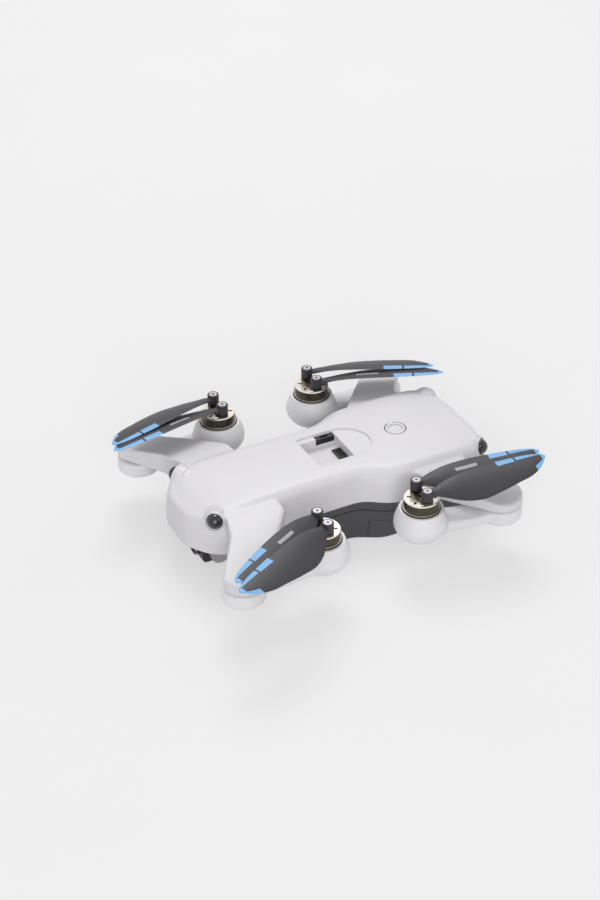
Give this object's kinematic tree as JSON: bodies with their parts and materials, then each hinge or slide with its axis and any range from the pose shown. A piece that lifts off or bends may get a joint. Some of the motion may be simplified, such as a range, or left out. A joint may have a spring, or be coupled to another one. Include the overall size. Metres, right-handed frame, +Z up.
{
  "type": "folding quadcopter",
  "caption": "Folding four-rotor camera drone, stored with its arms folded in and its blades lying along the arms.",
  "frame": {"origin": "on the belly's flat underside, on the middle line, midway between the front and rear arm hinges", "axes": "+X to the nose, +Y to the craft's left, +Z up"},
  "size_m": [0.2404, 0.2155, 0.0667],
  "materials": {
    "arm_shell": "satin light grey ABS",
    "belly_shell": "satin dark grey ABS",
    "black_trim": "satin black",
    "blade": "satin charcoal",
    "body_shell": "satin light grey ABS",
    "camera_shell": "anodised dark grey",
    "cell_foil": "pouch foil",
    "ceramic_module": "ceramic patch",
    "circuit_board": "solder mask",
    "contact_brass": "gold plated",
    "damper_rubber": "soft rubber",
    "dark_glass": "polished dark lens",
    "gimbal_metal": "anodised dark grey",
    "hub_metal": "cast, dark",
    "light_guide": "translucent light guide",
    "motor_bell": "turned and anodised",
    "screw_steel": "plated",
    "stator": "laminated core and enamelled copper"
  },
  "bodies": {
    "airframe": {"upper_shell": "body_shell", "belly_shell": "belly_shell", "shell_screws": "screw_steel", "arm_hinge_pins": "screw_steel", "corner_eye_bezels": "black_trim", "corner_eyes": "dark_glass", "button_light_ring": "light_guide", "accessory_contact_socket": "black_trim", "accessory_catch_plate": "black_trim", "main_board": "circuit_board", "speed_controller_board": "circuit_board", "positioning_module": "ceramic_module", "downward_sensor_window": "black_trim", "downward_sensor_lenses": "dark_glass", "gimbal_dampers": "damper_rubber", "gimbal_base": "gimbal_metal"},
    "power_button": {"power_button": "body_shell"},
    "battery": {"battery_case": "belly_shell", "battery_cells": "cell_foil", "battery_contacts": "contact_brass"},
    "battery_latch": {"battery_latch": "black_trim"},
    "gimbal_roll": {"gimbal_roll_yoke": "gimbal_metal"},
    "camera": {"camera_housing": "camera_shell", "camera_lens": "dark_glass"},
    "arm_front_left": {"arm_front_left": "arm_shell", "stator_front_left": "stator"},
    "rotor_front_left": {"bell_front_left": "motor_bell", "blade_hub_front_left": "hub_metal", "blade_screws_front_left": "screw_steel"},
    "blade_front_left_outer": {"blade_front_left_outer": "blade"},
    "blade_front_left_inner": {"blade_front_left_inner": "blade"},
    "arm_front_right": {"arm_front_right": "arm_shell", "stator_front_right": "stator"},
    "rotor_front_right": {"bell_front_right": "motor_bell", "blade_hub_front_right": "hub_metal", "blade_screws_front_right": "screw_steel"},
    "blade_front_right_outer": {"blade_front_right_outer": "blade"},
    "blade_front_right_inner": {"blade_front_right_inner": "blade"},
    "arm_rear_left": {"arm_rear_left": "arm_shell", "stator_rear_left": "stator"},
    "rotor_rear_left": {"bell_rear_left": "motor_bell", "blade_hub_rear_left": "hub_metal", "blade_screws_rear_left": "screw_steel"},
    "blade_rear_left_outer": {"blade_rear_left_outer": "blade"},
    "blade_rear_left_inner": {"blade_rear_left_inner": "blade"},
    "arm_rear_right": {"arm_rear_right": "arm_shell", "stator_rear_right": "stator"},
    "rotor_rear_right": {"bell_rear_right": "motor_bell", "blade_hub_rear_right": "hub_metal", "blade_screws_rear_right": "screw_steel"},
    "blade_rear_right_outer": {"blade_rear_right_outer": "blade"},
    "blade_rear_right_inner": {"blade_rear_right_inner": "blade"}
  },
  "joints": [
    {"name": "arm_fold_front_left", "type": "hinge", "parent": "airframe", "child": "arm_front_left", "pos_m": [0.092, 0.079, 0.03], "axis": [0, 0, -1], "range_deg": [0, 130]},
    {"name": "rotor_spin_front_left", "type": "hinge", "parent": "arm_front_left", "child": "rotor_front_left", "pos_m": [0.03525, 0.0745, 0.048], "axis": [0, 0, 1], "range_deg": [-30, 115]},
    {"name": "blade_fold_front_left_outer", "type": "hinge", "parent": "rotor_front_left", "child": "blade_front_left_outer", "pos_m": [0.03525, 0.0815, 0.061], "axis": [0, 0, 1], "range_deg": [0, 63.6]},
    {"name": "blade_fold_front_left_inner", "type": "hinge", "parent": "rotor_front_left", "child": "blade_front_left_inner", "pos_m": [0.03525, 0.0675, 0.061], "axis": [0, 0, -1], "range_deg": [0, 119.6]},
    {"name": "arm_fold_front_right", "type": "hinge", "parent": "airframe", "child": "arm_front_right", "pos_m": [0.092, -0.079, 0.03], "axis": [0, 0, 1], "range_deg": [0, 130]},
    {"name": "rotor_spin_front_right", "type": "hinge", "parent": "arm_front_right", "child": "rotor_front_right", "pos_m": [0.03525, -0.0745, 0.048], "axis": [0, 0, -1], "range_deg": [-30, 115]},
    {"name": "blade_fold_front_right_outer", "type": "hinge", "parent": "rotor_front_right", "child": "blade_front_right_outer", "pos_m": [0.03525, -0.0815, 0.061], "axis": [0, 0, -1], "range_deg": [0, 105]},
    {"name": "blade_fold_front_right_inner", "type": "hinge", "parent": "rotor_front_right", "child": "blade_front_right_inner", "pos_m": [0.03525, -0.0675, 0.061], "axis": [0, 0, 1], "range_deg": [0, 80]},
    {"name": "arm_fold_rear_left", "type": "hinge", "parent": "airframe", "child": "arm_rear_left", "pos_m": [-0.092, 0.079, 0.03], "axis": [0, 0, 1], "range_deg": [0, 130]},
    {"name": "rotor_spin_rear_left", "type": "hinge", "parent": "arm_rear_left", "child": "rotor_rear_left", "pos_m": [-0.03525, 0.0745, 0.048], "axis": [0, 0, -1], "range_deg": [-30, 115]},
    {"name": "blade_fold_rear_left_outer", "type": "hinge", "parent": "rotor_rear_left", "child": "blade_rear_left_outer", "pos_m": [-0.03525, 0.0815, 0.061], "axis": [0, 0, -1], "range_deg": [0, 88.5]},
    {"name": "blade_fold_rear_left_inner", "type": "hinge", "parent": "rotor_rear_left", "child": "blade_rear_left_inner", "pos_m": [-0.03525, 0.0675, 0.061], "axis": [0, 0, 1], "range_deg": [0, 96.5]},
    {"name": "arm_fold_rear_right", "type": "hinge", "parent": "airframe", "child": "arm_rear_right", "pos_m": [-0.092, -0.079, 0.03], "axis": [0, 0, -1], "range_deg": [0, 130]},
    {"name": "rotor_spin_rear_right", "type": "hinge", "parent": "arm_rear_right", "child": "rotor_rear_right", "pos_m": [-0.03525, -0.0745, 0.048], "axis": [0, 0, 1], "range_deg": [-30, 115]},
    {"name": "blade_fold_rear_right_outer", "type": "hinge", "parent": "rotor_rear_right", "child": "blade_rear_right_outer", "pos_m": [-0.03525, -0.0815, 0.061], "axis": [0, 0, 1], "range_deg": [0, 114.3]},
    {"name": "blade_fold_rear_right_inner", "type": "hinge", "parent": "rotor_rear_right", "child": "blade_rear_right_inner", "pos_m": [-0.03525, -0.0675, 0.061], "axis": [0, 0, -1], "range_deg": [0, 68.3]},
    {"name": "button_press", "type": "slide", "parent": "airframe", "child": "power_button", "axis": [0, 0, -1], "range_m": [0, 0.0008], "stiffness_N_per_m": 500, "springref_m": -0.0008},
    {"name": "battery_slide", "type": "slide", "parent": "airframe", "child": "battery", "axis": [-1, 0, 0], "range_m": [0, 0.085]},
    {"name": "latch_press", "type": "slide", "parent": "battery", "child": "battery_latch", "axis": [1, 0, 0], "range_m": [0, 0.002], "stiffness_N_per_m": 400, "springref_m": -0.002},
    {"name": "gimbal_roll", "type": "hinge", "parent": "airframe", "child": "gimbal_roll", "pos_m": [0.06, 0, 0.013], "axis": [1, 0, 0], "range_deg": [-25, 25]},
    {"name": "gimbal_tilt", "type": "hinge", "parent": "gimbal_roll", "child": "camera", "pos_m": [0.078, 0, 0.013], "axis": [0, 1, 0], "range_deg": [-25, 90]}
  ]
}
